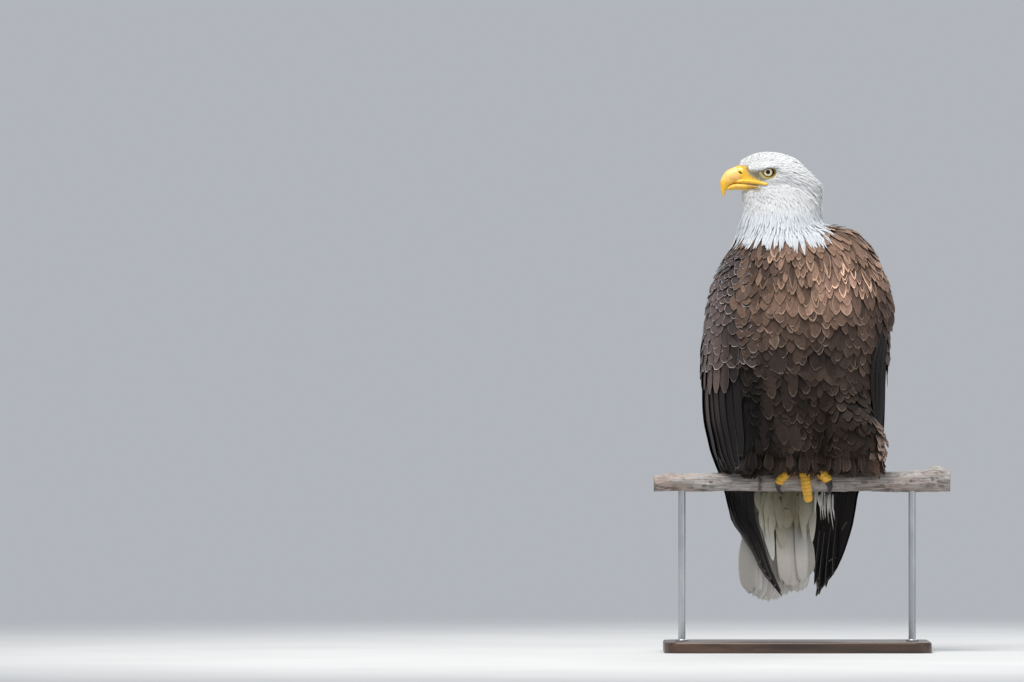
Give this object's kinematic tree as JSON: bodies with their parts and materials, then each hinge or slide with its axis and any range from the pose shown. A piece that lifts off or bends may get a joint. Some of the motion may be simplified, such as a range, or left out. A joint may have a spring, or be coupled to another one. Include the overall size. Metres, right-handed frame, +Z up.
{
  "type": "bald eagle model on perch stand",
  "caption": "Life-size still model of an adult bald eagle perched upright on one foot, head turned to its right, on a cut branch held by a plain display stand.",
  "frame": {"origin": "centre of the underside of the stand's base plate", "axes": "+Z is up; +X runs along the branch towards the bird's left; -Y is the side the breast faces"},
  "size_m": [0.488, 0.2558, 0.8252],
  "materials": {
    "head_feathers": "short white feathers, matte",
    "body_feathers": "dark brown feathers with pale tan edges",
    "wing_feathers": "dark brown coverts with thin pale edges",
    "flight_feathers": "blackish brown flight feathers, slight sheen",
    "tail_feathers": "off-white feathers with a yellow-brown stain near the roots",
    "bill": "yellow horn, smooth and slightly waxy",
    "eye": "pale yellow iris with a black pupil under a clear wet surface",
    "foot_skin": "yellow scaled skin",
    "claw": "black horn, semi-gloss",
    "branch": "weathered grey bark with pinkish brown patches",
    "stand_rod": "brushed round steel",
    "stand_base": "dark stained wood, satin"
  },
  "bodies": {
    "root": {"head": "head_feathers", "neck": "head_feathers", "bill_upper": "bill", "bill_lower": "bill", "eye_left": "eye", "eye_right": "eye", "trunk": "body_feathers", "thigh_right": "body_feathers", "thigh_left": "body_feathers", "wing_right_coverts": "wing_feathers", "wing_right_secondaries": "flight_feathers", "wing_right_primaries": "flight_feathers", "foot_right": "foot_skin", "claw_right_outer": "claw", "claw_right_middle": "claw", "claw_right_inner": "claw", "claw_right_hind": "claw", "wing_left_coverts": "wing_feathers", "wing_left_secondaries": "flight_feathers", "wing_left_primaries": "flight_feathers", "foot_left": "foot_skin", "claw_left_outer": "claw", "claw_left_middle": "claw", "claw_left_inner": "claw", "claw_left_hind": "claw", "tail_coverts": "tail_feathers", "tail_feathers": "tail_feathers", "perch_branch": "branch", "stand_rod_right": "stand_rod", "stand_rod_left": "stand_rod", "stand_base": "stand_base"}
  },
  "joints": []
}
